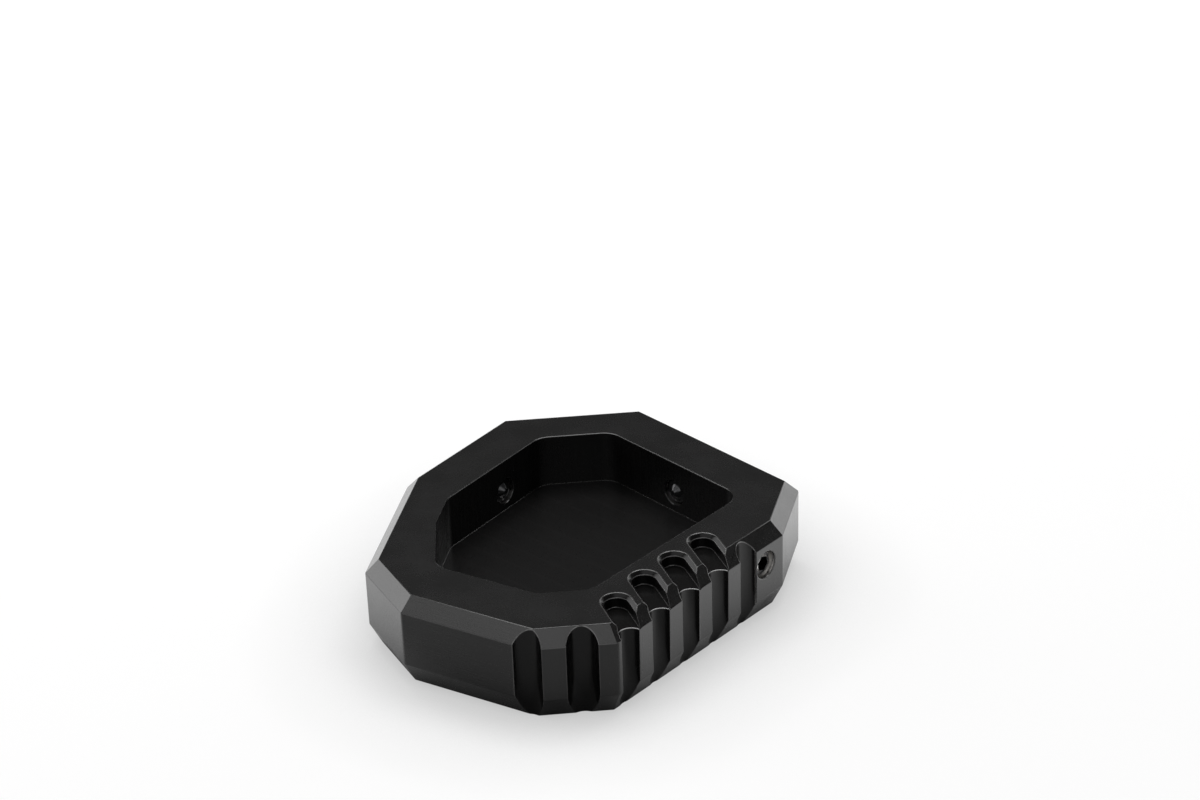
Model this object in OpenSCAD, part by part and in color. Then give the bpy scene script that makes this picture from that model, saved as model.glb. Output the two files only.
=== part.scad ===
// Kickstand foot enlarger: a milled plate that widens the foot of a motorcycle's
// side stand. The stand's own foot drops into the pocket in the top, and three
// set screws through the walls clamp it there.
//
// Millimetres, +Z up. The origin lies on the underside, in the middle of the
// plate's overall width (X) and depth (Y), and the front side faces -Y.
//
// In plan the plate has nine flat sides. Each is given by the direction that it
// faces. The six long ones also have a distance from a datum point inside the
// plate, and the three short ones, at the front, the right and the left corner,
// a length. What is cut into a side is measured from that side's own corner.

/* [Plate] */
// Height of the plate
plate_h = 20; // [18:0.5:26]
// Width of the sloping band round the top, seen from above
top_band_w = 2.85; // [1.5:0.05:3.2]
// Height of the sloping band round the top
top_band_h = 3.05; // [1.5:0.05:3.5]
// Width of the sloping band round the underside, seen from above
base_band_w = 2.4; // [1:0.1:3]
// Height of the sloping band round the underside
base_band_h = 5; // [2:0.5:6]
// Radius of the upright edges between the sides
edge_r = 1.5; // [0.5:0.1:3]

/* [Distance of the long sides from the datum] */
// Slotted side
slotted_dist = 35.3; // [34:0.1:38]
// Rear right side
rear_right_dist = 42; // [40:0.1:46]
// Rear side
rear_dist = 46.8; // [44:0.2:50]
// Rear left side
rear_left_dist = 42.2; // [40:0.1:46]
// Left side
left_dist = 41.4; // [40:0.1:43]
// Front left side
front_left_dist = 47; // [45:0.1:49]

/* [Length of the short sides] */
// Front side
front_len = 17.05; // [15:0.05:19]
// Right side
right_len = 19.25; // [16:0.05:23]
// Short side at the left corner
short_left_len = 17.95; // [15:0.05:20]

/* [Direction that each side faces] */
// Front side, anticlockwise from +X
front_angle = -90; // [-92:0.5:-88]
// Slotted side
slotted_angle = -46.5; // [-50:0.5:-43]
// Right side
right_side_angle = -19.5; // [-22:0.5:-17]
// Rear right side
rear_right_angle = 36.5; // [33:0.5:40]
// Rear side
rear_angle = 90; // [87:0.5:93]
// Rear left side
rear_left_angle = 139; // [136:0.5:142]
// Left side
left_angle = 164.5; // [162:0.5:166]
// Short side at the left corner
short_left_angle = 202.5; // [200:0.5:205]
// Front left side
front_left_angle = 235; // [232:0.5:238]

/* [Pocket] */
// Thickness of the plate under the pocket
floor_t = 8; // [5:0.5:8.5]
// Radius of the pocket's upright corners
pocket_r = 5; // [3:0.5:8]
// Thickness of the walls that hold a set screw
screw_wall = 14; // [13.5:0.1:16]
// Thickness of the front wall
front_wall = 16; // [14:0.5:18]
// Thickness of the front left wall
front_left_wall = 14.5; // [12:0.5:16]
// Thickness of the rear wall
rear_wall = 12; // [10:0.5:16]
// Thickness of the wall at the left corner
left_corner_wall = 16.8; // [15:0.1:18]
// Direction that the pocket's side at the left corner faces
pocket_left_corner_angle = 177; // [174:0.5:182]
// Length of the pocket's left side
pocket_left_len = 10.1; // [8:0.1:13]

/* [Flutes and slots] */
// Radius of the flutes in the slotted side
flute_r = 2.6; // [2.55:0.05:3]
// Depth of the flutes in the slotted side
flute_depth = 2.55; // [2:0.05:2.8]
// Number of flutes in the slotted side, the last of them with no slot
flute_count = 5; // [3:1:5]
// Distance from the front corner to the first flute
flute_start = 3.85; // [3:0.05:5]
// Width of the flat land between the last flute and the far corner
screw_land = 8.9; // [8.8:0.1:12]
// Width of the slots in the top
slot_w = 5; // [4:0.1:5]
// Depth of the slots
slot_depth = 3; // [2:0.1:4]
// Length of the slots, from the flute to the centre of the round end
slot_len = 9.9; // [8:0.1:10.2]
// How much shorter the first slot is
first_slot_less = 1.6; // [0:0.1:3]
// Angle of the slots to their side
slot_angle = 60; // [50:1:75]
// Width of the bevel round the slots
slot_bevel = 0.8; // [0.2:0.1:0.9]
// Radius of the flutes in the front side
front_flute_r = 3.2; // [2.8:0.1:3.6]
// Depth of the flutes in the front side
front_flute_depth = 2.75; // [2:0.05:2.8]
// Distance from the front side's left corner to its flute
front_flute_along = 10.1; // [9.5:0.1:11]
// Depth of the flute at the front side's left corner
corner_flute_depth = 3.35; // [2.8:0.05:3.5]
// How far that flute lies outside the front side's left corner
corner_flute_out = 1.15; // [0.5:0.05:1.6]

/* [Set screws] */
// Diameter of the thread
thread_d = 6; // [5:0.5:6]
// Clearance between screw and hole, all round
thread_fit = 0.05; // [0.02:0.01:0.1]
// Length of a set screw
screw_len = 12; // [8:0.5:12]
// How far a set screw's end lies below its side
screw_recess = 1.5; // [0.5:0.1:1.5]
// Width across the flats of the hexagon socket
socket_af = 3; // [2.5:0.5:3]
// Depth of the hexagon socket
socket_depth = 3.5; // [2:0.5:4]
// Bevel at both ends of a set screw
screw_bevel = 0.5; // [0.3:0.1:0.8]
// Bevel round the mouth of a screw hole
hole_bevel = 0.2; // [0.1:0.05:0.4]
// Height of the set screws above the underside
screw_z = 12.5; // [12:0.1:13]
// Distance from the slotted side's far corner to its set screw
screw_from_corner = 5.6; // [5:0.1:5.6]

/* [Hidden] */
$fn = 96;
// How far a cut runs past the face that it opens
over = 1;
// How far a rounding stands proud of its two sides, so that it crosses them cleanly
proud = 0.001;

// A side is [direction that it faces, distance from the datum]
function facing(angle) = [cos(angle), sin(angle)];
function moved(side, by) = [side[0], side[1] + by];

// Where two sides cross
function crossing(a, b) = [
    a[1] * sin(b[0]) - b[1] * sin(a[0]),
    b[1] * cos(a[0]) - a[1] * cos(b[0]),
] / sin(b[0] - a[0]);
function outline(sides) = [
    for (i = [0 : len(sides) - 1]) crossing(sides[i], sides[(i + 1) % len(sides)])
];

// The side of a given length that cuts off the corner between two others
function cutting_off(a, b, angle, length) = [
    angle,
    crossing(a, b) * facing(angle) - length / (1 / tan(angle - a[0]) + 1 / tan(b[0] - angle)),
];

slotted = [slotted_angle, slotted_dist];
rear_right = [rear_right_angle, rear_right_dist];
rear = [rear_angle, rear_dist];
rear_left = [rear_left_angle, rear_left_dist];
left = [left_angle, left_dist];
front_left = [front_left_angle, front_left_dist];
front = cutting_off(front_left, slotted, front_angle, front_len);
right = cutting_off(slotted, rear_right, right_side_angle, right_len);
short_left = cutting_off(left, front_left, short_left_angle, short_left_len);

SIDES = [front, slotted, right, rear_right, rear, rear_left, left, short_left, front_left];
FRONT = 0;
SLOTTED = 1;
REAR_RIGHT = 3;
REAR_LEFT = 5;

// The pocket follows the plate's sides, apart from the right one and the left corner
pocket_rear_left = moved(rear_left, -screw_wall);
pocket_left_corner = [pocket_left_corner_angle, short_left[1] - left_corner_wall];
POCKET = [
    moved(front, -front_wall),
    moved(slotted, -screw_wall),
    moved(rear_right, -screw_wall),
    moved(rear, -rear_wall),
    pocket_rear_left,
    cutting_off(pocket_rear_left, pocket_left_corner, left_angle, pocket_left_len),
    pocket_left_corner,
    moved(front_left, -front_left_wall),
];

// Corner i lies between side i and the next
CORNERS = outline(SIDES);
function side_start(i) = CORNERS[(i + len(SIDES) - 1) % len(SIDES)];
function side_len(i) = norm(CORNERS[i] - side_start(i));
function middle(list) = (max(list) + min(list)) / 2;

// Centres of the rounded upright edges, and the middle of the plate's width and depth
EDGES = outline([for (side = SIDES) moved(side, -edge_r)]);
CENTRE = [middle([for (p = EDGES) p.x]), middle([for (p = EDGES) p.y]), 0];

flute_end = side_len(SLOTTED) - screw_land - flute_r;
flute_pitch = (flute_end - flute_start) / (flute_count - 1);

// Side that each set screw goes through, and how far along it
SCREW_SLOTTED = [SLOTTED, side_len(SLOTTED) - screw_from_corner];
SCREW_REAR_RIGHT = [REAR_RIGHT, side_len(REAR_RIGHT) / 2];
SCREW_REAR_LEFT = [REAR_LEFT, side_len(REAR_LEFT) / 2];

// Puts what follows at the start of side i: X along the side, Y into the plate
module on_side(i, along = 0) {
    translate(side_start(i))
        rotate([0, 0, SIDES[i][0] + 90])
            translate([along, 0, 0])
                children();
}

// Flat outline with its corners rounded to radius r
module rounded(sides, r) {
    difference() {
        polygon(outline(sides));
        for (i = [0 : len(sides) - 1])
            corner_trim(sides[i], sides[(i + 1) % len(sides)], r);
    }
}

// What lies between a sharp corner and its rounding
module corner_trim(a, b, r) {
    centre = crossing(moved(a, -r), moved(b, -r));
    difference() {
        polygon([
            centre,
            centre + (r + over) * facing(a[0]),
            crossing(moved(a, over), moved(b, over)),
            centre + (r + over) * facing(b[0]),
        ]);
        translate(centre) circle(r + proud);
    }
}

// Wedge along side i that leaves a sloping band w wide and h high. The band
// slopes in towards z, and up is 1 at the top and -1 at the underside.
module band_cut(i, w, h, z, up) {
    on_side(i, -over - w)
        rotate([90, 0, 90])
            linear_extrude(side_len(i) + 2 * (over + w))
                polygon([[-w, z - up * 2 * h], [2 * w, z + up * h], [-w, z + up * h]]);
}

module blank() {
    difference() {
        linear_extrude(plate_h) rounded(SIDES, edge_r);
        for (i = [0 : len(SIDES) - 1]) {
            band_cut(i, top_band_w, top_band_h, plate_h, 1);
            band_cut(i, base_band_w, base_band_h, 0, -1);
        }
    }
}

module pocket_cut() {
    translate([0, 0, floor_t])
        linear_extrude(plate_h - floor_t + over)
            rounded(POCKET, pocket_r);
}

// Round groove down the whole height of a side, centred on the local Z axis
module flute_cut(r, depth) {
    translate([0, depth - r, -over])
        cylinder(r = r, h = plate_h + 2 * over);
}

// Slot in the top that runs from a flute to a round end, with its edge bevelled
module slot_cut(length) {
    r = slot_w / 2;
    rise = slot_bevel + over;
    translate([0, flute_depth - flute_r, plate_h])
        rotate([0, 0, slot_angle]) {
            translate([0, 0, -slot_depth])
                linear_extrude(slot_depth + over) {
                    translate([0, -r]) square([length, slot_w]);
                    translate([length, 0]) circle(r);
                }
            translate([0, 0, -slot_bevel]) {
                rotate([90, 0, 90])
                    linear_extrude(length)
                        polygon([[-r, 0], [r, 0], [r + rise, rise], [-r - rise, rise]]);
                translate([length, 0, 0])
                    cylinder(r1 = r, r2 = r + rise, h = rise);
            }
        }
}

// Puts what follows on a set screw's axis: Z runs in from the side's face
module on_screw_axis(place) {
    on_side(place[0], place[1])
        translate([0, 0, screw_z])
            rotate([-90, 0, 0])
                children();
}

module screw_hole_cut() {
    translate([0, 0, -over])
        cylinder(d = thread_d, h = screw_wall + 2 * over);
    translate([0, 0, -over])
        cylinder(r1 = thread_d / 2 + hole_bevel + over, r2 = thread_d / 2, h = hole_bevel + over);
}

// Set screw with a hexagon socket and a cup point
module set_screw() {
    r = thread_d / 2 - thread_fit;
    tip_r = r - 2 * screw_bevel;
    translate([0, 0, screw_recess])
        difference() {
            rotate_extrude()
                polygon([
                    [0, 0],
                    [r - screw_bevel, 0],
                    [r, screw_bevel],
                    [r, screw_len - 2 * screw_bevel],
                    [tip_r, screw_len],
                    [0, screw_len - tip_r / 2],
                ]);
            translate([0, 0, -over])
                rotate([0, 0, 30])
                    cylinder(d = socket_af / cos(30), h = socket_depth + over, $fn = 6);
        }
}

module plate() {
    color("#1d1e20")
        translate(-CENTRE)
            difference() {
                blank();
                pocket_cut();
                for (k = [0 : flute_count - 1])
                    on_side(SLOTTED, flute_start + k * flute_pitch)
                        flute_cut(flute_r, flute_depth);
                for (k = [0 : flute_count - 2])
                    on_side(SLOTTED, flute_start + k * flute_pitch)
                        slot_cut(slot_len - (k == 0 ? first_slot_less : 0));
                on_side(FRONT, front_flute_along)
                    flute_cut(front_flute_r, front_flute_depth);
                on_side(FRONT, -corner_flute_out)
                    flute_cut(front_flute_r, corner_flute_depth);
                for (place = [SCREW_SLOTTED, SCREW_REAR_RIGHT, SCREW_REAR_LEFT])
                    on_screw_axis(place) screw_hole_cut();
            }
}

module set_screw_slotted_side() {
    color("#c8cacc")
        translate(-CENTRE)
            on_screw_axis(SCREW_SLOTTED) set_screw();
}

module set_screw_rear_right() {
    color("#c8cacc")
        translate(-CENTRE)
            on_screw_axis(SCREW_REAR_RIGHT) set_screw();
}

module set_screw_rear_left() {
    color("#c8cacc")
        translate(-CENTRE)
            on_screw_axis(SCREW_REAR_LEFT) set_screw();
}

plate();
set_screw_slotted_side();
set_screw_rear_right();
set_screw_rear_left();
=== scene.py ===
"""Dresses the milled foot plate and its set screws for a close look, and sets their stage."""

import math

import bmesh
import bpy
from mathutils import Matrix, Vector


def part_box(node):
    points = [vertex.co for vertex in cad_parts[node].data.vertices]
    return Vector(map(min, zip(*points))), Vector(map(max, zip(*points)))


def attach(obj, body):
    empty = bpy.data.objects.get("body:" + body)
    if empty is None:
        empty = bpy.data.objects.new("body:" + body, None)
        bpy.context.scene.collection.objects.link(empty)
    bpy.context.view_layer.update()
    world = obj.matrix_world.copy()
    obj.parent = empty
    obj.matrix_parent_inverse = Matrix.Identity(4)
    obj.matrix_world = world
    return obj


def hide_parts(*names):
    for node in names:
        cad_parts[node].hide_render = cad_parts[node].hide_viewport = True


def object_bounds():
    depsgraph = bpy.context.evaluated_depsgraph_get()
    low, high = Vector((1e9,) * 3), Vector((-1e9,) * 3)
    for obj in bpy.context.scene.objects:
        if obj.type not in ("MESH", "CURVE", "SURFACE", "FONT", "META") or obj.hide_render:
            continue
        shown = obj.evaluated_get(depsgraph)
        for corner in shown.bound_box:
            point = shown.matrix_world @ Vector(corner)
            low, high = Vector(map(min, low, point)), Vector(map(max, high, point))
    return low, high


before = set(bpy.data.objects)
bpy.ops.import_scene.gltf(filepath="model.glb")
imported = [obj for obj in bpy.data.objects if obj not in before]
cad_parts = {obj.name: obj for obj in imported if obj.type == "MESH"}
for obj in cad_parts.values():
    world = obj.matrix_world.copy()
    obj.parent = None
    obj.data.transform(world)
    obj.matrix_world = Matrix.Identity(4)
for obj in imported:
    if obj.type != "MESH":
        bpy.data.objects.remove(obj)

CAD_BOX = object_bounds()

bl_info = {
    "name": "Milled foot plate",
    "version": (1, 0, 0),
    "blender": (4, 5, 0),
    "location": "View3D > Sidebar > Foot plate",
    "description": "Finishes a milled foot plate and its set screws, and sets their stage",
    "category": "Object",
}

# The side that each set screw goes through, by the direction that the side faces, in degrees
SCREW_SIDES = {
    "set_screw_slotted_side": -46.5,
    "set_screw_rear_right": 36.5,
    "set_screw_rear_left": 139.0,
}

# How the sides were cut, by the directions that they face. The others were cut upright.
LEVEL_CUT = (220.0, 260.0)
EVEN_CUT = (100.0, 220.0)

# What tells the plate's faces apart: the rise of a level and of an upright face's normal, the
# slack in front of an outer face, the reach of a hole from its axis and of the pocket from the
# plate's middle, the least depth of the pocket's faces, and the height below which flutes start
LEVEL_NORMAL = 0.99
UPRIGHT_NORMAL = 0.1
OUTER_SLACK = 0.00003
HOLE_REACH = 0.0032
POCKET_REACH = 0.036
POCKET_DEPTH = 0.0035
FLUTE_FOOT = 0.008

# Angles in degrees: edges that are broken, and edges that stay sharp when a piece is smoothed
BROKEN_EDGE = 25
SHARP_PLATE_EDGE = 17
SHARP_SCREW_EDGE = 35

# Sizes along X, Y and Z of the marks that the cutters left
UPRIGHT_MARKS = (0.0003, 0.0003, 0.012)
LEVEL_MARKS = (0.009, 0.009, 0.00026)
EVEN_MARKS = (0.0003, 0.0003, 0.0003)
FLUTE_MARKS = (0.0004, 0.0004, 0.009)

# The rows on the pocket's floor: their width, the radius of their arcs and the mill's advance
ROW_WIDTH = 0.0052
ARC_RADIUS = 0.004
ADVANCE = 0.00055

# The thread, in shares of its pitch: its depth, and half the width of the holes' ridge and of
# the screws' groove at their outer and inner ends. Then how far it stops short of a hole's end.
THREAD_DEPTH = 0.54
RIDGE = (0.39, 0.07)
GROOVE = (0.47, 0.13)
THREAD_STOP = 0.0006

# The lamps: place, width and height
LAMPS = {
    "overhead_lamp": ((0.1, 0.35, 1.1), (1.2, 0.6)),
    "front_lamp": ((-0.42, -0.42, 1.0), (1.5, 0.8)),
    "left_lamp": ((-0.77, 0.5, 0.37), (0.66, 0.5)),
    "right_lamp": ((0.66, 0.6, 0.38), (0.45, 0.6)),
}
LAMP_AIM = Vector((0, 0, 0.01))


# Settings ------------------------------------------------------------------------------

class PlateSettings(bpy.types.PropertyGroup):
    """Sizes and colours of the plate's finish."""

    edge_break: bpy.props.FloatProperty(
        name="Edge break", description="Width of the fine bevel on every sharp edge",
        default=0.00014, min=0.00002, max=0.0005, unit="LENGTH", precision=5)
    colour: bpy.props.FloatVectorProperty(
        name="Anodised colour", description="Colour of the black anodised layer",
        default=(0.0022, 0.0021, 0.0021), size=3, min=0, max=1, subtype="COLOR")
    ridge_colour: bpy.props.FloatVectorProperty(
        name="Ridge colour", description="Colour on the ridges of the cutter's marks",
        default=(0.0085, 0.0082, 0.008), size=3, min=0, max=1, subtype="COLOR")
    # Painted highlight: a lighter colour for the bevel strips on the upper edges of the flutes and slots,
    # standing in for the light that these edges catch
    edge_highlight_colour: bpy.props.FloatVectorProperty(
        name="Edge colour", description="Colour of the thin layer on the edges of the flutes and slots",
        default=(0.09, 0.088, 0.086), size=3, min=0, max=1, subtype="COLOR")
    # Painted highlight: only the edge strips of the flutes and slots that lie higher than this get the
    # lighter colour, so the lower edges stay dark
    highlight_above: bpy.props.FloatProperty(
        name="Worn above", description="Height above which the edges of the flutes show wear",
        default=0.0035, min=0, unit="LENGTH", precision=5)
    tapped_colour: bpy.props.FloatVectorProperty(
        name="Tapped colour",
        description="Colour of the bare aluminium of the threads, which were cut last",
        default=(0.5, 0.49, 0.48), size=3, min=0, max=1, subtype="COLOR")
    roughness: bpy.props.FloatProperty(
        name="Roughness", description="Roughness of the milled and anodised faces",
        default=0.24, min=0.05, max=1, subtype="FACTOR")
    gloss: bpy.props.FloatProperty(
        name="Refraction", description="Index of refraction of the anodised layer",
        default=1.72, min=1.2, max=2.5)
    cut_gloss: bpy.props.FloatProperty(
        name="Refraction in the cuts",
        description="Index of refraction in the flutes, slots and pocket, which are finer",
        default=1.42, min=1.2, max=2.5)
    mark_depth: bpy.props.FloatProperty(
        name="Mark depth", description="Height of the fine marks that the cutter left",
        default=0.000004, min=0, max=0.00005, unit="LENGTH", precision=6)


class ScrewSettings(bpy.types.PropertyGroup):
    """Sizes and colours of the set screws and of the threads that hold them."""

    radius: bpy.props.FloatProperty(
        name="Radius", description="Outer radius of the thread",
        default=0.00295, min=0.001, max=0.01, unit="LENGTH", precision=5)
    hole_radius: bpy.props.FloatProperty(
        name="Hole radius", description="Outer radius of the thread in the hole",
        default=0.003, min=0.001, max=0.01, unit="LENGTH", precision=5)
    length: bpy.props.FloatProperty(
        name="Length", description="Length of a set screw",
        default=0.012, min=0.004, max=0.04, unit="LENGTH", precision=5)
    recess: bpy.props.FloatProperty(
        name="Recess", description="How far the screw's end lies below the side",
        default=0.0015, min=0, max=0.005, unit="LENGTH", precision=5)
    wall: bpy.props.FloatProperty(
        name="Wall", description="Length of the threaded hole",
        default=0.014, min=0.002, max=0.05, unit="LENGTH", precision=5)
    pitch: bpy.props.FloatProperty(
        name="Pitch", description="Rise of the thread in one turn",
        default=0.001, min=0.0002, max=0.003, unit="LENGTH", precision=5)
    socket: bpy.props.FloatProperty(
        name="Socket", description="Width across the flats of the hexagon socket",
        default=0.003, min=0.001, max=0.006, unit="LENGTH", precision=5)
    socket_depth: bpy.props.FloatProperty(
        name="Socket depth", description="Depth of the hexagon socket",
        default=0.0035, min=0.001, max=0.01, unit="LENGTH", precision=5)
    bevel: bpy.props.FloatProperty(
        name="Bevel", description="Bevel at both ends of the screw",
        default=0.0005, min=0, max=0.001, unit="LENGTH", precision=5)
    turn: bpy.props.FloatProperty(
        name="Turn", description="How far the hexagon is turned in its hole",
        default=math.radians(10), subtype="ANGLE")
    colour: bpy.props.FloatVectorProperty(
        name="Blackened colour", description="Colour of the blackened steel",
        default=(0.085, 0.085, 0.088), size=3, min=0, max=1, subtype="COLOR")
    bright_colour: bpy.props.FloatVectorProperty(
        name="Bright colour", description="Colour of the bare steel on the screw's edges",
        default=(0.78, 0.77, 0.75), size=3, min=0, max=1, subtype="COLOR")
    roughness: bpy.props.FloatProperty(
        name="Roughness", description="Roughness of the turned steel",
        default=0.28, min=0.05, max=1, subtype="FACTOR")
    mark_depth: bpy.props.FloatProperty(
        name="Mark depth", description="Height of the grain in the turned steel",
        default=0.000004, min=0, max=0.00005, unit="LENGTH", precision=6)


class StageSettings(bpy.types.PropertyGroup):
    """The camera, the floor and the lamps."""

    lens: bpy.props.FloatProperty(
        name="Lens", description="Focal length of the camera",
        default=77.09, min=20, max=300, unit="CAMERA")
    distance: bpy.props.FloatProperty(
        name="Distance", description="From the camera to the plate's middle, along the view",
        default=0.5479, unit="LENGTH")
    azimuth: bpy.props.FloatProperty(
        name="Azimuth", description="Direction of the camera round the plate",
        default=math.radians(-4.67), subtype="ANGLE")
    elevation: bpy.props.FloatProperty(
        name="Elevation", description="Height of the camera above the floor, as an angle",
        default=math.radians(27.17), subtype="ANGLE")
    roll: bpy.props.FloatProperty(
        name="Roll", description="Turn of the camera about its own axis",
        default=math.radians(-1.95), subtype="ANGLE")
    offset: bpy.props.FloatVectorProperty(
        name="Offset", description="How far the camera is moved right and up in its own view",
        default=(0.00393, 0.04123), size=2, unit="LENGTH")
    floor_radius: bpy.props.FloatProperty(
        name="Floor radius", description="Radius of the pale floor", default=4.0, unit="LENGTH")
    floor_colour: bpy.props.FloatVectorProperty(
        name="Floor colour", description="Colour of the floor and of the wall at its rim",
        default=(0.42, 0.42, 0.42), size=3, min=0, max=1, subtype="COLOR")
    floor_glow: bpy.props.FloatProperty(
        name="Floor glow",
        description="How much the floor near the plate is lifted towards white in view",
        default=0.63, min=0, max=1, subtype="FACTOR")
    floor_shine: bpy.props.FloatProperty(
        name="Floor shine",
        description="How bright the floor behind the plate and on its right is in reflections",
        default=0.92, min=0, max=2)
    room: bpy.props.FloatProperty(
        name="Room", description="Brightness of the plain grey room", default=0.08, min=0, max=2)
    overhead_lamp: bpy.props.FloatProperty(
        name="Overhead lamp", description="Power of the large soft lamp above",
        default=8.8, min=0, unit="POWER")
    front_lamp: bpy.props.FloatProperty(
        name="Front lamp", description="Power of the weak, wide lamp above the front",
        default=3.3, min=0, unit="POWER")
    left_lamp: bpy.props.FloatProperty(
        name="Left lamp", description="Power of the low soft lamp on the left",
        default=2.2, min=0, unit="POWER")
    right_lamp: bpy.props.FloatProperty(
        name="Right lamp", description="Power of the low soft lamp on the right",
        default=1.32, min=0, unit="POWER")


# Shared tools --------------------------------------------------------------------------

def let_go():
    """Leaves edit mode and clears the selection."""
    if bpy.context.object and bpy.context.object.mode != "OBJECT":
        bpy.ops.object.mode_set(mode="OBJECT")
    bpy.ops.object.select_all(action="DESELECT")


def hold(piece):
    """Makes a piece the only selected one."""
    let_go()
    piece.select_set(True)
    bpy.context.view_layer.objects.active = piece


def apply_modifier(piece, kind, **settings):
    """Adds a modifier, sets it and applies it."""
    hold(piece)
    modifier = piece.modifiers.new(kind.title(), kind)
    for key, value in settings.items():
        setattr(modifier, key, value)
    bpy.ops.object.modifier_apply(modifier=modifier.name)


def cut(piece, tool, operation="DIFFERENCE"):
    """Cuts a piece with a closed tool, or joins the two, and removes the tool."""
    apply_modifier(piece, "BOOLEAN", object=tool, operation=operation, solver="EXACT")
    bpy.data.objects.remove(tool)


def select_faces(piece, wanted):
    """In edit mode, selects the faces that the test wants."""
    bpy.ops.mesh.select_mode(type="FACE")
    bpy.ops.mesh.select_all(action="DESELECT")
    mesh = bmesh.from_edit_mesh(piece.data)
    for face in mesh.faces:
        if wanted(face):
            face.select_set(True)
    bmesh.update_edit_mesh(piece.data)


def draw_out(rise, scale):
    """Extrudes the selected round face along the axis, and scales its new rim."""
    bpy.ops.mesh.extrude_region_move(TRANSFORM_OT_translate={"value": (0, 0, rise)})
    bpy.ops.transform.resize(value=(scale, scale, 1), center_override=(0, 0, 0))


def turn_outwards(piece):
    """Turns the faces of a closed piece outwards."""
    hold(piece)
    bpy.ops.object.mode_set(mode="EDIT")
    bpy.ops.mesh.select_all(action="SELECT")
    bpy.ops.mesh.normals_make_consistent(inside=False)
    bpy.ops.object.mode_set(mode="OBJECT")


def thread_bar(radius, over, widths, pitch, start, turns, steps=48):
    """A closed helical bar round the Z axis, which is wide a little over the radius and narrow below it."""
    outer, inner = radius + over, radius - THREAD_DEPTH * pitch
    wide, narrow = (width * pitch for width in widths)
    section = ((outer, -wide), (outer, wide), (inner, -narrow), (inner, narrow))
    let_go()
    bpy.ops.mesh.primitive_plane_add(size=pitch)
    bar = bpy.context.object
    for vertex, (reach, height) in zip(bar.data.vertices, section):
        vertex.co = (reach, 0, start + height)
    bpy.ops.object.mode_set(mode="EDIT")
    bpy.ops.mesh.select_all(action="SELECT")
    bpy.ops.mesh.delete(type="ONLY_FACE")
    bpy.ops.object.mode_set(mode="OBJECT")
    apply_modifier(bar, "SCREW", axis="Z", screw_offset=pitch, iterations=turns,
                   steps=steps, render_steps=steps)
    bpy.ops.object.mode_set(mode="EDIT")
    bpy.ops.mesh.select_all(action="SELECT")
    bpy.ops.mesh.fill_holes(sides=0)
    turn_outwards(bar)
    return bar


def mouth_of(node, settings):
    """Placement of a screw hole: its mouth at the origin and its axis, outwards, along Z."""
    low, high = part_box(node)
    angle = math.radians(SCREW_SIDES[node])
    out = Vector((math.cos(angle), math.sin(angle), 0))
    mouth = (low + high) / 2 + out * (settings.recess + settings.length / 2)
    level = Vector((-out.y, out.x, 0))
    turned = Matrix((level, (0, 0, 1), out)).transposed().to_4x4()
    return Matrix.Translation(mouth) @ turned


def place(piece, matrix):
    """Puts a piece in its place, with the place in its mesh."""
    piece.matrix_world = matrix
    hold(piece)
    bpy.ops.object.transform_apply(location=True, rotation=True, scale=True)


def smooth(piece, sharp_edge):
    """Shades a piece smooth, apart from its sharp edges, with its flat faces kept flat."""
    hold(piece)
    bpy.ops.object.shade_smooth_by_angle(angle=math.radians(sharp_edge))
    apply_modifier(piece, "WEIGHTED_NORMAL", mode="FACE_AREA", keep_sharp=True)


# Materials -----------------------------------------------------------------------------

class Value:
    """An output of a material's nodes, with which sums can be written."""

    def __init__(self, finish, socket):
        self.finish = finish
        self.socket = socket

    def joined(self, operation, first, second):
        return self.finish.node("ShaderNodeMath", {"operation": operation}, {0: first, 1: second})

    def __add__(self, other): return self.joined("ADD", self, other)
    def __radd__(self, other): return self.joined("ADD", other, self)
    def __sub__(self, other): return self.joined("SUBTRACT", self, other)
    def __rsub__(self, other): return self.joined("SUBTRACT", other, self)
    def __mul__(self, other): return self.joined("MULTIPLY", self, other)
    def __rmul__(self, other): return self.joined("MULTIPLY", other, self)
    def __truediv__(self, other): return self.joined("DIVIDE", self, other)
    def __rtruediv__(self, other): return self.joined("DIVIDE", other, self)
    def __abs__(self): return self.of("ABSOLUTE")

    def of(self, operation):
        """A function of this value alone, such as its sine or its square root."""
        return self.finish.node("ShaderNodeMath", {"operation": operation}, {0: self})


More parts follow.
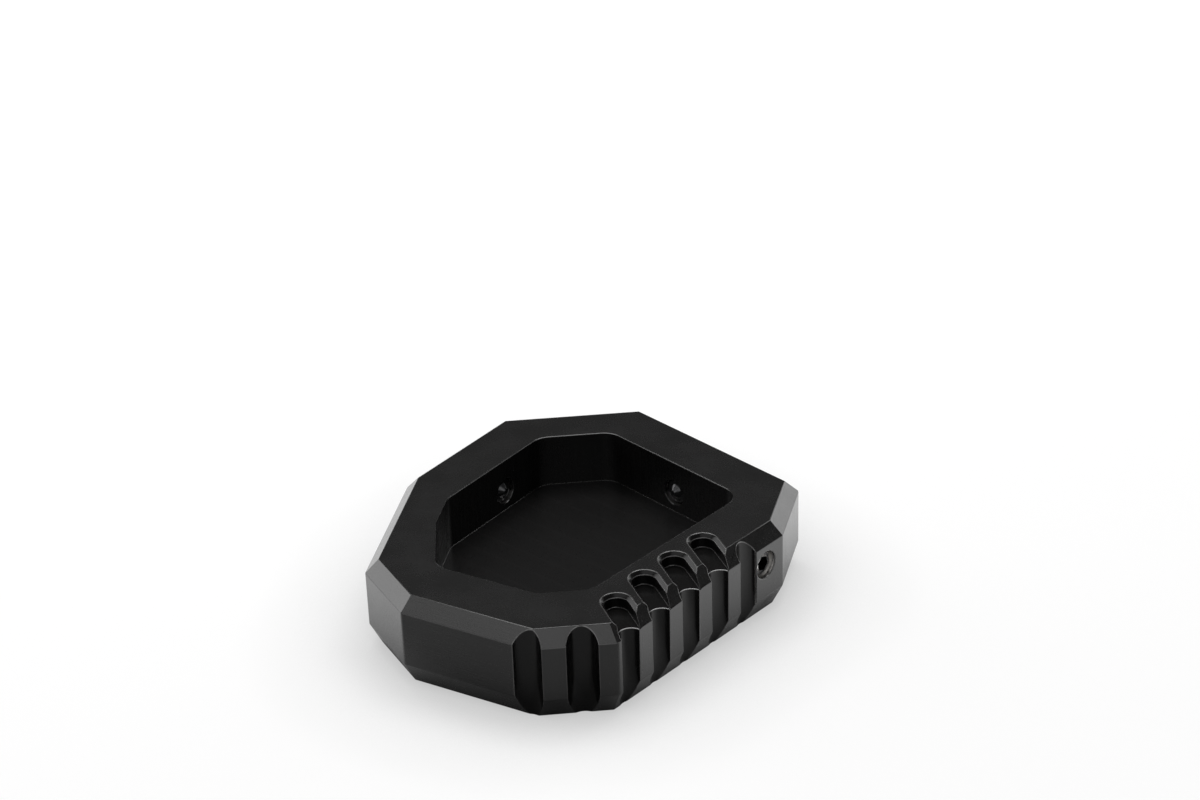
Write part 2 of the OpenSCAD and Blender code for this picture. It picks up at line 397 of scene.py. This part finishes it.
class Finish:
    """A material in the making, on the object's own coordinates."""

    def __init__(self, name):
        self.material = bpy.data.materials.new(name)
        self.material.use_nodes = True
        self.tree = self.material.node_tree
        self.shader = next(n for n in self.tree.nodes if n.type == "BSDF_PRINCIPLED")
        self.place = self.node("ShaderNodeTexCoord", output="Object")

    def node(self, kind, settings=None, sockets=None, output=0):
        """Adds any node, with its settings and what goes into its sockets, and gives one output."""
        made = self.tree.nodes.new(kind)
        for key, value in (settings or {}).items():
            setattr(made, key, value)
        for key, value in (sockets or {}).items():
            self.feed(made.inputs[key], value)
        return Value(self, made.outputs[output])

    def feed(self, socket, value):
        """Links a value to a socket, or sets the socket to a number or colour."""
        if isinstance(value, Value):
            self.tree.links.new(value.socket, socket)
        else:
            socket.default_value = value

    def looks(self, values):
        """Sets or links the shader's own sockets."""
        for name, value in values.items():
            self.feed(self.shader.inputs[name], value)

    def stretched(self, across):
        """The object's coordinates, each divided by the size of a mark along that axis."""
        sizes = tuple(1 / size for size in across)
        return self.node("ShaderNodeVectorMath", {"operation": "MULTIPLY"}, {0: self.place, 1: sizes})

    def noise(self, across, detail=2.0, roughness=0.5):
        """Soft noise whose marks have the given sizes along the three axes."""
        return self.node("ShaderNodeTexNoise", {}, {
            "Vector": self.stretched(across), "Scale": 1.0, "Detail": detail, "Roughness": roughness})

    def between(self, value, low, high, to_low=0.0, to_high=1.0):
        """Maps a value from one range to another, and keeps it there."""
        return self.node("ShaderNodeMapRange", {"clamp": True}, {
            "Value": value, "From Min": low, "From Max": high, "To Min": to_low, "To Max": to_high})

    def axes(self, vector):
        """The three parts of a vector."""
        return [self.node("ShaderNodeSeparateXYZ", {}, {0: vector}, output=axis) for axis in "XYZ"]

    def rays(self, *kinds):
        """1 for the rays of the given kinds, and 0 for the others."""
        found = sum(self.node("ShaderNodeLightPath", output=f"Is {kind} Ray") for kind in kinds)
        return self.between(found, 0, 1)

    def mix(self, factor, first, second):
        """Mixes two fixed colours, whose sockets are the node's seventh and eighth."""
        return self.node("ShaderNodeMix", {"data_type": "RGBA"}, {
            0: factor, 6: (*first, 1), 7: (*second, 1)}, output=2)

    def bump(self, height, distance):
        """A bumped normal from a height that runs from 0 to 1."""
        return self.node("ShaderNodeBump", {}, {"Height": height, "Distance": distance, "Strength": 1.0})


def dimmed(colour, share):
    """A colour brought down to a share of its brightness."""
    return tuple(share * channel for channel in colour)


def anodised(name, settings, marks, share=0.5, rough=0.0, gloss=None, ridge=None, contrast=1.0):
    """Black anodising over milled metal.

    The share is how much of the relief the cutter's marks make up, beside an even grain. Rough is
    added to the roughness, gloss is the index of refraction, ridge is the colour on the marks'
    ridges, and on the edge strips the lighter colour of a painted highlight, and contrast is how
    plainly the marks show.
    """
    finish = Finish(name)
    grain = finish.noise((0.00025,) * 3, detail=3.0, roughness=0.65)
    streaks = finish.noise(marks, detail=3.0, roughness=0.65)
    cloud = finish.noise((0.008,) * 3)
    height = streaks * share + grain * (1 - share)
    tint = finish.between(height * 0.8 + cloud * 0.2, 0.36, 0.66)
    unevenness = (height - 0.5) * (0.25 * contrast) + (cloud - 0.5) * 0.08
    finish.looks({
        "Base Color": finish.mix(tint, settings.colour, ridge or settings.ridge_colour),
        "Roughness": settings.roughness + rough + unevenness,
        "Metallic": 0.0,
        "IOR": gloss or settings.gloss,
        "Normal": finish.bump(height, settings.mark_depth * 2 * contrast),
    })
    return finish.material


def bare_aluminium(name, settings):
    """The bare, bright aluminium of the tapped holes."""
    finish = Finish(name)
    grain = finish.noise((0.00015,) * 3, detail=3.0)
    finish.looks({
        "Base Color": finish.mix(grain, settings.tapped_colour, dimmed(settings.tapped_colour, 0.7)),
        "Roughness": 0.3 + (grain - 0.5) * 0.2,
        "Metallic": 1.0,
        "Normal": finish.bump(grain, settings.mark_depth),
    })
    return finish.material


def pocket_floor(name, settings):
    """The pocket's floor, with the rows of fine arcs that an end mill leaves."""
    finish = Finish(name)
    along_slotted_side = (0, 0, math.radians(-SCREW_SIDES["set_screw_slotted_side"]))
    turned = finish.node("ShaderNodeMapping", {}, {"Vector": finish.place, "Rotation": along_slotted_side})
    along, across, _ = finish.axes(turned)
    lane = (across / ROW_WIDTH).of("FRACT") - 0.5
    aside = lane * ROW_WIDTH
    curve = (ARC_RADIUS ** 2 - aside * aside).of("SQRT")
    arcs = ((along + curve) * (math.tau / ADVANCE)).of("SINE")
    seam = finish.between(abs(lane), 0.44, 0.5)
    grain = finish.noise((0.0003,) * 3, detail=3.0)
    height = arcs * 0.16 + seam * 0.3 + grain * 0.4 + 0.2
    tint = finish.between(height, 0.2, 0.8)
    finish.looks({
        "Base Color": finish.mix(tint, settings.colour, settings.ridge_colour),
        "Roughness": settings.roughness + 0.06 + (grain - 0.5) * 0.14,
        "Metallic": 0.0,
        "IOR": settings.cut_gloss,
        "Normal": finish.bump(height, settings.mark_depth * 3),
    })
    return finish.material


def steel(name, colour, settings):
    """Turned steel of the set screws, blackened or bare."""
    finish = Finish(name)
    grain = finish.noise((0.00012,) * 3, detail=3.0)
    cloud = finish.noise((0.0009,) * 3)
    finish.looks({
        "Base Color": finish.mix(finish.between(cloud, 0.3, 0.7), colour, dimmed(colour, 0.6)),
        "Roughness": settings.roughness + (grain - 0.5) * 0.2,
        "Metallic": 1.0,
        "Normal": finish.bump(grain, settings.mark_depth),
    })
    return finish.material


def stage_white(settings):
    """The pale floor, which keeps the plate's shade.

    It is lifted towards white where it is seen, and turns white far away. Reflections find it
    bright behind the plate and on its right, and dark in front: a painted pool of light. Near the
    plate its colour and its glow are darkened by ambient occlusion, a painted shade that joins the
    lamps' real shadow.
    """
    finish = Finish("pale_floor")
    open_floor = finish.node("ShaderNodeAmbientOcclusion", {"samples": 6}, {"Distance": 0.03}, output="AO")
    # Painted shade: squared occlusion darkens the floor's colour and its mirrored glow near the plate
    shade = open_floor * open_floor
    away = finish.node("ShaderNodeVectorMath", {"operation": "LENGTH"}, {0: finish.place}, output="Value")
    x, y, _ = finish.axes(finish.place)
    # Painted light: reflections see the floor brighter behind the plate and on its right than in front
    bright_side = finish.between(y + x * 0.3, -0.052, -0.034) * settings.floor_shine
    mirrored = (bright_side + (1 - bright_side) * finish.between(away, 0.2, 0.9)) * shade
    lifted = finish.between(away, 0.2, 0.9, settings.floor_glow, 1.0)
    # Painted shadow: the glow that the camera sees is dimmed where the floor is occluded near the plate
    viewed = lifted * finish.between(open_floor, 0.2, 0.9, 0.8, 1.0)
    glow = finish.rays("Camera") * viewed + finish.rays("Glossy", "Transmission") * mirrored
    finish.looks({
        "Base Color": finish.mix(shade, dimmed(settings.floor_colour, 0.3), settings.floor_colour),
        "Roughness": 0.95,
        "Specular IOR Level": 0.0,
        "Emission Color": finish.mix(glow, (0, 0, 0), (1, 1, 1)),
        "Emission Strength": 1.0,
    })
    return finish.material


# Pieces --------------------------------------------------------------------------------

class FOOTPLATE_OT_milled_plate(bpy.types.Operator):
    """Makes the milled plate, with broken edges, threaded holes and its anodised finish"""

    bl_idname = "footplate.milled_plate"
    bl_label = "Milled plate"

    def execute(self, context):
        settings = context.scene.footplate_plate
        screws = context.scene.footplate_screws
        plate = bpy.data.objects.new("milled_plate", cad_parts["plate"].data.copy())
        context.scene.collection.objects.link(plate)
        mouths = [mouth_of(node, screws) for node in SCREW_SIDES]
        self.clean(plate)
        self.colour(plate, mouths, settings)
        self.break_edges(plate, settings)
        for mouth in mouths:
            self.thread_hole(plate, mouth, screws)
        turn_outwards(plate)
        smooth(plate, SHARP_PLATE_EDGE)
        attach(plate, "root")
        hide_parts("plate")
        return {"FINISHED"}

    def clean(self, plate):
        """Merges the loose triangles, and joins those that lie in one plane."""
        hold(plate)
        plate.data.materials.clear()
        bpy.ops.object.mode_set(mode="EDIT")
        bpy.ops.mesh.select_all(action="SELECT")
        bpy.ops.mesh.remove_doubles(threshold=0.00001)
        bpy.ops.mesh.dissolve_limited(angle_limit=math.radians(0.2))
        bpy.ops.object.mode_set(mode="OBJECT")

    def colour(self, plate, mouths, settings):
        """Gives each face the finish of the cutter that made it."""
        def black(name, marks=EVEN_MARKS, **looks):
            return anodised(name, settings, marks, **looks)

        # The edge strips of the flutes and slots get a lighter colour, a painted highlight along those
        # edges
        gloss, painted_highlight = settings.cut_gloss, settings.edge_highlight_colour
        finishes = {
            "upright": black("anodised_upright", UPRIGHT_MARKS, share=0.55),
            "level": black("anodised_level", LEVEL_MARKS, share=0.6, contrast=1.4),
            "even": black("anodised_even", contrast=1.5),
            "flat": black("anodised_flat", rough=0.03, contrast=0.4),
            "flute": black("anodised_flute", FLUTE_MARKS, gloss=gloss, contrast=0.6),
            "slot": black("anodised_slot", gloss=gloss - 0.1, contrast=0.5),
            "pocket": black("anodised_pocket", FLUTE_MARKS, rough=0.05, gloss=gloss),
            "pocket_floor": pocket_floor("anodised_pocket_floor", settings),
            "tapped": bare_aluminium("tapped_aluminium", settings),
            "outer_edge": black("outer_edge"),
            "flute_edge": black("flute_edge", gloss=2.1, ridge=painted_highlight),
            "slot_edge": black("slot_edge", ridge=painted_highlight),
        }
        for finish in finishes.values():
            plate.data.materials.append(finish)
        names = list(finishes)
        corners = [vertex.co.copy() for vertex in plate.data.vertices]
        for face in plate.data.polygons:
            face.material_index = names.index(self.cut_of(face, corners, mouths))

    def cut_of(self, face, corners, mouths):
        """Names the cut that made a face. An outer face has the whole plate behind it."""
        middle, normal = face.center.copy(), face.normal.copy()
        level, upright = abs(normal.z) > LEVEL_NORMAL, abs(normal.z) < UPRIGHT_NORMAL
        if all((corner - middle).dot(normal) < OUTER_SLACK for corner in corners):
            turn = math.degrees(math.atan2(normal.y, normal.x)) % 360
            if level:
                return "flat"
            if LEVEL_CUT[0] < turn < LEVEL_CUT[1]:
                return "level"
            return "even" if EVEN_CUT[0] < turn < EVEN_CUT[1] else "upright"
        for mouth in mouths:
            axis = mouth.col[2].xyz
            reach = (middle - mouth.translation).cross(axis).length
            if reach < HOLE_REACH and abs(normal.dot(axis)) < UPRIGHT_NORMAL:
                return "tapped"
        inside = middle.xy.length < POCKET_REACH and middle.z < CAD_BOX[1].z - POCKET_DEPTH
        if inside and level:
            return "pocket_floor"
        if inside and middle.xy.dot(normal.xy) < 0:
            return "pocket"
        foot = min(corners[index].z for index in face.vertices)
        return "flute" if upright and foot < FLUTE_FOOT else "slot"

    def break_edges(self, plate, settings):
        """Bevels every sharp edge a little, and gives the upper edges of the flutes and slots a lighter
        colour, a painted highlight.
        """
        index = {finish.name: number for number, finish in enumerate(plate.data.materials)}
        segments = 2
        apply_modifier(plate, "BEVEL", width=settings.edge_break, segments=segments,
                       limit_method="ANGLE", angle_limit=math.radians(BROKEN_EDGE),
                       use_clamp_overlap=False, miter_outer="MITER_ARC",
                       material=index["outer_edge"])
        hold(plate)
        bpy.ops.object.mode_set(mode="EDIT")
        mesh = bmesh.from_edit_mesh(plate.data)
        edges = {index["outer_edge"], index["flute_edge"], index["slot_edge"]}
        # Painted highlight: the bevel strips above a set height that touch a flute or slot get the lighter
        # edge colour
        strips = [face for face in mesh.faces if face.material_index in edges
                  and face.calc_center_median().z > settings.highlight_above]
        for cut_name, edge_name in (("anodised_slot", "slot_edge"), ("anodised_flute", "flute_edge")):
            beside = {index[cut_name], index[edge_name]}
            for _ in range(segments):
                painted_highlight = [strip for strip in strips if any(
                    other.material_index in beside for edge in strip.edges for other in edge.link_faces)]
                for strip in painted_highlight:
                    strip.material_index = index[edge_name]
        bmesh.update_edit_mesh(plate.data)
        bpy.ops.object.mode_set(mode="OBJECT")

    def thread_hole(self, plate, mouth, screws):
        """Adds the thread to a hole, from just inside its mouth to its far end."""
        far_end = -screws.wall + THREAD_STOP
        ridge = thread_bar(screws.hole_radius, 0.00004, RIDGE, screws.pitch, far_end, turns=12)
        ridge.data.materials.append(bpy.data.materials["tapped_aluminium"])
        place(ridge, mouth)
        cut(plate, ridge, "UNION")


class FOOTPLATE_OT_set_screws(bpy.types.Operator):
    """Makes one set screw with its thread and hexagon socket, and puts a copy in each hole"""

    bl_idname = "footplate.set_screws"
    bl_label = "Set screws"

    def execute(self, context):
        settings = context.scene.footplate_screws
        screw = self.blank(settings)
        self.thread(screw, settings)
        self.socket(screw, settings)
        self.colour(screw, settings)
        for node in SCREW_SIDES:
            copy = bpy.data.objects.new(node.replace("set_screw", "threaded_screw"), screw.data.copy())
            context.scene.collection.objects.link(copy)
            place(copy, mouth_of(node, settings))
            smooth(copy, SHARP_SCREW_EDGE)
            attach(copy, "root")
            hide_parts(node)
        bpy.data.objects.remove(screw)
        return {"FINISHED"}

    def blank(self, settings):
        """Makes the turned blank, with bevelled ends, a countersink for the socket and a cup point."""
        radius, bevel, length = settings.radius, settings.bevel, settings.length
        rim = radius - bevel
        let_go()
        bpy.ops.mesh.primitive_circle_add(vertices=64, radius=rim, fill_type="NGON",
                                          location=(0, 0, -settings.recess))
        blank = bpy.context.object
        bpy.ops.object.transform_apply(location=True)
        bpy.ops.object.mode_set(mode="EDIT")
        bpy.ops.mesh.select_all(action="SELECT")
        draw_out(-bevel, radius / rim)
        draw_out(-(length - 2 * bevel), 1)
        draw_out(-bevel, rim / radius)
        bpy.ops.mesh.inset(thickness=rim * 0.3)
        bpy.ops.mesh.inset(thickness=rim * 0.45, depth=-rim * 0.4)
        select_faces(blank, lambda face: face.calc_center_median().z > -settings.recess - 0.00001)
        bpy.ops.mesh.inset(thickness=rim - settings.socket * 0.64)
        bpy.ops.mesh.inset(thickness=settings.socket * 0.1, depth=-settings.socket * 0.1)
        turn_outwards(blank)
        return blank

    def colour(self, screw, settings):
        """Gives the screw blackened steel, with bare metal on its outer bevel and round the socket."""
        screw.data.materials.append(steel("blackened_steel", settings.colour, settings))
        screw.data.materials.append(steel("bare_steel", settings.bright_colour, settings))
        for face in screw.data.polygons:
            outer = face.center.z > -settings.recess - 1.2 * settings.bevel
            if outer and 0.2 < face.normal.z < 0.95 and face.center.xy.length > settings.socket * 0.53:
                face.material_index = 1

    def thread(self, screw, settings):
        """Cuts the thread, a little clear of the one in the hole."""
        below = -settings.wall + THREAD_STOP - settings.pitch
        cut(screw, thread_bar(settings.radius, 0.0001, GROOVE, settings.pitch, below, turns=15))

    def socket(self, screw, settings):
        """Cuts the hexagon socket, with the cone that the drill left at its bottom."""
        let_go()
        corner, proud = settings.socket / math.sqrt(3), 0.001
        middle = -settings.recess - settings.socket_depth / 2 + proud / 2
        bpy.ops.mesh.primitive_cylinder_add(
            vertices=6, radius=corner, depth=settings.socket_depth + proud,
            location=(0, 0, middle), rotation=(0, 0, settings.turn))
        tool = bpy.context.object
        bpy.ops.object.transform_apply(location=True, rotation=True)
        bpy.ops.object.mode_set(mode="EDIT")
        select_faces(tool, lambda face: face.normal.z < -0.9)
        bpy.ops.mesh.inset(thickness=corner * 0.08)
        draw_out(-corner * 0.5, 0.05)
        bpy.ops.object.mode_set(mode="OBJECT")
        cut(screw, tool)


class FOOTPLATE_OT_stage(bpy.types.Operator):
    """Sets the camera, the pale floor, the soft lamps and the plain room"""

    bl_idname = "footplate.stage"
    bl_label = "Stage"

    def execute(self, context):
        settings = context.scene.footplate_stage
        self.camera(context, settings)
        self.floor(settings)
        self.room(context, settings)
        for name, (spot, size) in LAMPS.items():
            self.lamp(name, spot, size, getattr(settings, name))
        return {"FINISHED"}

    def camera(self, context, settings):
        """Puts the camera where the photograph was taken from."""
        let_go()
        bpy.ops.object.camera_add()
        camera = context.object
        camera.name = "photo_camera"
        azimuth, elevation, roll = settings.azimuth, settings.elevation, settings.roll
        reach, drop = math.cos(elevation), math.sin(elevation)
        ahead = Vector((-math.sin(azimuth) * reach, math.cos(azimuth) * reach, -drop))
        right = Vector((math.cos(azimuth), math.sin(azimuth), 0))
        up = right.cross(ahead)
        spot = -ahead * settings.distance + right * settings.offset[0] + up * settings.offset[1]
        rolled_right = right * math.cos(roll) + up * math.sin(roll)
        rolled_up = up * math.cos(roll) - right * math.sin(roll)
        turned = Matrix((rolled_right, rolled_up, -ahead)).transposed().to_4x4()
        camera.matrix_world = Matrix.Translation(spot) @ turned
        camera.data.lens = settings.lens
        camera.data.sensor_width = 36
        camera.data.clip_start, camera.data.clip_end = 0.01, 50
        context.scene.camera = camera
        context.scene.view_settings.view_transform = "Standard"

    def floor(self, settings):
        """Makes a round floor with a wall at its rim, low behind the plate and high in front."""
        let_go()
        radius = settings.floor_radius
        bpy.ops.mesh.primitive_circle_add(vertices=96, radius=radius, fill_type="NGON")
        floor = bpy.context.object
        floor.name = "pale_floor"
        bpy.ops.object.mode_set(mode="EDIT")
        bpy.ops.mesh.select_all(action="SELECT")
        bpy.ops.mesh.inset(thickness=radius * 0.1)
        select_faces(floor, lambda face: len(face.verts) > 4)
        bpy.ops.mesh.inset(thickness=radius * 0.5)
        bpy.ops.object.mode_set(mode="OBJECT")
        for vertex in floor.data.vertices:
            if vertex.co.xy.length > radius * 0.95:
                towards_front = 0.5 - 0.5 * vertex.co.y / radius
                vertex.co.z = radius * (0.15 + 0.65 * towards_front ** 2)
        hold(floor)
        bpy.ops.object.shade_smooth_by_angle(angle=math.radians(80))
        floor.data.materials.append(stage_white(settings))

    def room(self, context, settings):
        """Makes the plain grey that lights the scene from all round, and is white where it is seen."""
        world = bpy.data.worlds.new("plain_room")
        context.scene.world = world
        world.use_nodes = True
        nodes, links = world.node_tree.nodes, world.node_tree.links
        path = nodes.new("ShaderNodeLightPath")
        level = nodes.new("ShaderNodeMapRange")
        level.inputs["To Min"].default_value = settings.room
        links.new(path.outputs["Is Camera Ray"], level.inputs["Value"])
        links.new(level.outputs[0], nodes["Background"].inputs["Strength"])
        nodes["Background"].inputs["Color"].default_value = (1, 1, 1, 1)

    def lamp(self, name, spot, size, power):
        """Adds a soft rectangular lamp, which shines on the plate and isn't seen itself."""
        let_go()
        bpy.ops.object.light_add(type="AREA", location=spot)
        lamp = bpy.context.object
        lamp.name = name
        lamp.rotation_euler = (LAMP_AIM - Vector(spot)).to_track_quat("-Z", "Y").to_euler()
        lamp.data.shape = "RECTANGLE"
        lamp.data.size, lamp.data.size_y = size
        lamp.data.energy = power
        lamp.visible_camera = False


class FOOTPLATE_PT_panel(bpy.types.Panel):
    """Lists the steps and the settings in the sidebar."""

    bl_idname = "FOOTPLATE_PT_panel"
    bl_label = "Milled foot plate"
    bl_space_type = "VIEW_3D"
    bl_region_type = "UI"
    bl_category = "Foot plate"

    def draw(self, context):
        for operator, group in STEPS:
            box = self.layout.box()
            box.operator(operator.bl_idname)
            settings = getattr(context.scene, group)
            for name in settings.__annotations__:
                box.prop(settings, name)


STEPS = (
    (FOOTPLATE_OT_milled_plate, "footplate_plate"),
    (FOOTPLATE_OT_set_screws, "footplate_screws"),
    (FOOTPLATE_OT_stage, "footplate_stage"),
)
GROUPS = {
    "footplate_plate": PlateSettings,
    "footplate_screws": ScrewSettings,
    "footplate_stage": StageSettings,
}
CLASSES = (*GROUPS.values(), *(operator for operator, _ in STEPS), FOOTPLATE_PT_panel)


def register():
    for each in CLASSES:
        bpy.utils.register_class(each)
    for name, group in GROUPS.items():
        setattr(bpy.types.Scene, name, bpy.props.PointerProperty(type=group))


def unregister():
    for name in GROUPS:
        delattr(bpy.types.Scene, name)
    for each in reversed(CLASSES):
        bpy.utils.unregister_class(each)


def main():
    register()
    bpy.ops.footplate.milled_plate()
    bpy.ops.footplate.set_screws()
    bpy.ops.footplate.stage()


if __name__ == "__main__":
    main()
